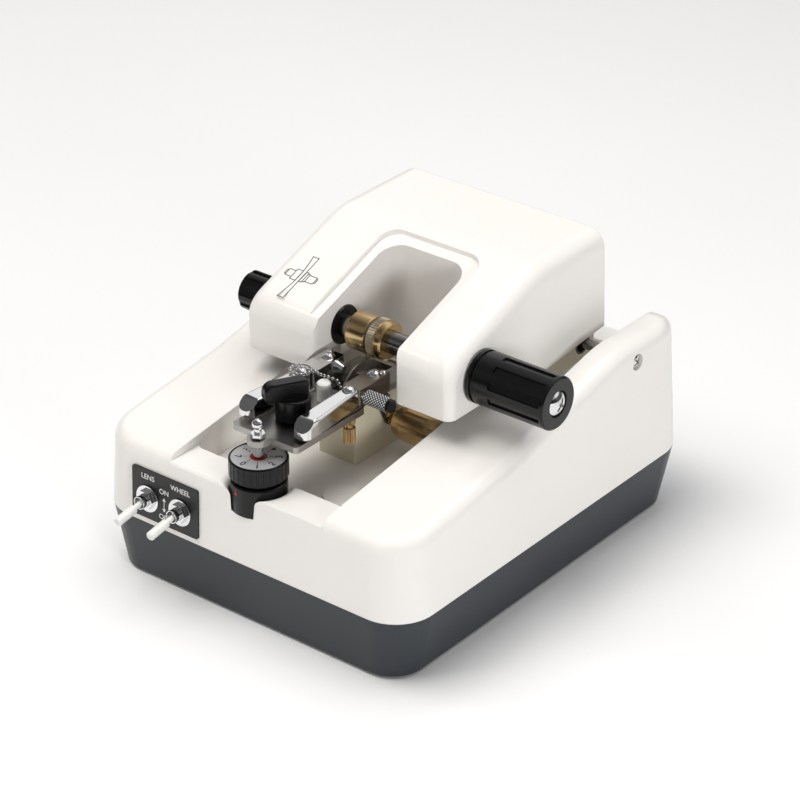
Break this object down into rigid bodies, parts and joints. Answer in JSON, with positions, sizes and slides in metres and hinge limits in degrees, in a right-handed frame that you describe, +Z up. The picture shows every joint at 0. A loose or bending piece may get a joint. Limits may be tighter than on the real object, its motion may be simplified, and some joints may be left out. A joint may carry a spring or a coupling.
{
  "type": "lens groover",
  "caption": "Bench machine that cuts the thread groove in the edge of a spectacle lens, with a tilting head, a clamped lens shaft, a diamond wheel, lens guides and a depth dial",
  "frame": {"origin": "on the resting surface, under the middle of the housing", "axes": "+X is the machine's right side, +Y its rear, +Z up"},
  "size_m": [0.1881, 0.2367, 0.139],
  "materials": {
    "white_shell": "gloss",
    "dark_tray": "satin",
    "black_plastic": "satin",
    "foot_rubber": "matte",
    "steel": "brushed",
    "chrome": "polished",
    "brass": "polished",
    "cream_plastic": "satin",
    "red_plastic": "gloss",
    "dial_silver": "satin",
    "white_nylon": "satin",
    "pad_rubber": "matte",
    "diamond_rim": "matte",
    "motor_black": "satin",
    "belt_rubber": "matte"
  },
  "bodies": {
    "base": {"base_tray": "dark_tray", "rubber_feet": "foot_rubber", "base_screws": "steel", "upper_housing": "white_shell", "switch_plate": "black_plastic", "switch_bodies": "chrome", "switch_washers": "chrome", "switch_nuts": "chrome", "power_inlet": "black_plastic", "transformer": "motor_black", "hinge_shaft": "steel", "hinge_screws": "chrome", "wheel_housing": "cream_plastic", "wheel_bearings": "steel", "wheel_motor": "brass", "stage_pivot_pin": "steel", "dial_base": "black_plastic", "drive_belt": "belt_rubber"},
    "head": {"head_cover": "white_shell", "head_frame": "cream_plastic", "hinge_bushes": "black_plastic", "left_flange": "black_plastic", "right_flange": "black_plastic", "shaft_bushes": "black_plastic", "lens_motor": "motor_black"},
    "left_chuck_shaft": {"left_shaft": "steel", "left_chuck": "brass", "left_pad": "pad_rubber", "lens_gear": "white_nylon", "left_knob": "black_plastic"},
    "clamp_carriage": {"clamp_sleeve": "steel"},
    "right_chuck_shaft": {"right_shaft": "steel", "right_chuck": "brass", "right_pad": "pad_rubber", "clamp_knob": "black_plastic", "clamp_knob_screw": "chrome"},
    "lens_drive": {"lens_pinion": "brass"},
    "stage": {"stage_plate": "steel", "nylon_post": "white_nylon", "bead_chain": "chrome", "guide_pivot_screws": "chrome", "pivot_nuts": "brass"},
    "depth_dial": {"depth_knob": "black_plastic", "dial_face": "dial_silver", "dial_hub": "red_plastic", "depth_rod": "chrome", "depth_nut": "chrome"},
    "left_guide": {"left_handle": "chrome", "left_guide_block": "steel", "left_guide_screws": "chrome"},
    "right_guide": {"right_handle": "chrome", "right_guide_block": "steel", "right_guide_screws": "chrome"},
    "mode_pointer": {"mode_knob": "black_plastic"},
    "adjuster": {"groove_adjuster": "chrome"},
    "wheel": {"grooving_wheel": "diamond_rim", "wheel_spindle": "steel"},
    "wheel_drive": {"motor_pulley": "brass"},
    "lens_switch": {"lens_switch_lever": "white_nylon"},
    "wheel_switch": {"wheel_switch_lever": "white_nylon"}
  },
  "joints": [
    {"name": "head_tilt", "type": "hinge", "parent": "base", "child": "head", "pos_m": [0, 0.0623, 0.0867], "axis": [-1, 0, 0], "range_deg": [0, 45]},
    {"name": "left_chuck_spin", "type": "hinge", "parent": "head", "child": "left_chuck_shaft", "pos_m": [0, -0.018, 0.1052], "axis": [1, 0, 0], "continuous": true},
    {"name": "lens_drive_spin", "type": "hinge", "parent": "head", "child": "lens_drive", "pos_m": [0, -0.004, 0.1052], "axis": [1, 0, 0], "continuous": true},
    {"name": "clamp_slide", "type": "slide", "parent": "head", "child": "clamp_carriage", "axis": [1, 0, 0], "range_m": [0, 0.009]},
    {"name": "right_chuck_spin", "type": "hinge", "parent": "clamp_carriage", "child": "right_chuck_shaft", "pos_m": [0, -0.018, 0.1052], "axis": [1, 0, 0], "continuous": true},
    {"name": "depth_dial_turn", "type": "hinge", "parent": "base", "child": "depth_dial", "pos_m": [-0.001, -0.0955, 0.075], "axis": [0, 0, 1], "range_deg": [0, 300]},
    {"name": "stage_tilt", "type": "hinge", "parent": "base", "child": "stage", "pos_m": [0, -0.006, 0.0868], "axis": [1, 0, 0], "range_deg": [0, 0.6]},
    {"name": "left_guide_pinch", "type": "hinge", "parent": "stage", "child": "left_guide", "pos_m": [-0.0135, -0.0525, 0.093], "axis": [0, 0, 1], "range_deg": [0, 3], "stiffness_Nm_per_rad": 0.05},
    {"name": "right_guide_pinch", "type": "hinge", "parent": "stage", "child": "right_guide", "pos_m": [0.0135, -0.0525, 0.093], "axis": [0, 0, -1], "range_deg": [0, 3], "stiffness_Nm_per_rad": 0.05},
    {"name": "mode_turn", "type": "hinge", "parent": "stage", "child": "mode_pointer", "pos_m": [0, -0.0736, 0.095], "axis": [0, 0, 1], "range_deg": [0, 60]},
    {"name": "adjuster_turn", "type": "hinge", "parent": "right_guide", "child": "adjuster", "pos_m": [0.025, -0.0479, 0.0943], "axis": [1, 0, 0], "range_deg": [0, 360]},
    {"name": "wheel_spin", "type": "hinge", "parent": "base", "child": "wheel", "pos_m": [0, -0.027, 0.0813], "axis": [1, 0, 0], "continuous": true},
    {"name": "wheel_drive_spin", "type": "hinge", "parent": "base", "child": "wheel_drive", "pos_m": [0.012, -0.022, 0.0703], "axis": [1, 0, 0], "continuous": true},
    {"name": "lens_switch_throw", "type": "hinge", "parent": "base", "child": "lens_switch", "pos_m": [-0.0546, -0.11131, 0.04437], "axis": [-1, 0, 0], "range_deg": [0, 26]},
    {"name": "wheel_switch_throw", "type": "hinge", "parent": "base", "child": "wheel_switch", "pos_m": [-0.0356, -0.11131, 0.04437], "axis": [-1, 0, 0], "range_deg": [0, 26]}
  ],
  "couplings": [
    {"joint": "lens_drive_spin", "follows": "left_chuck_spin", "ratio": -1},
    {"joint": "right_chuck_spin", "follows": "left_chuck_spin", "ratio": 1},
    {"joint": "stage_tilt", "follows": "depth_dial_turn", "ratio": 0.002},
    {"joint": "right_guide_pinch", "follows": "left_guide_pinch", "ratio": 1},
    {"joint": "wheel_drive_spin", "follows": "wheel_spin", "ratio": 1}
  ]
}
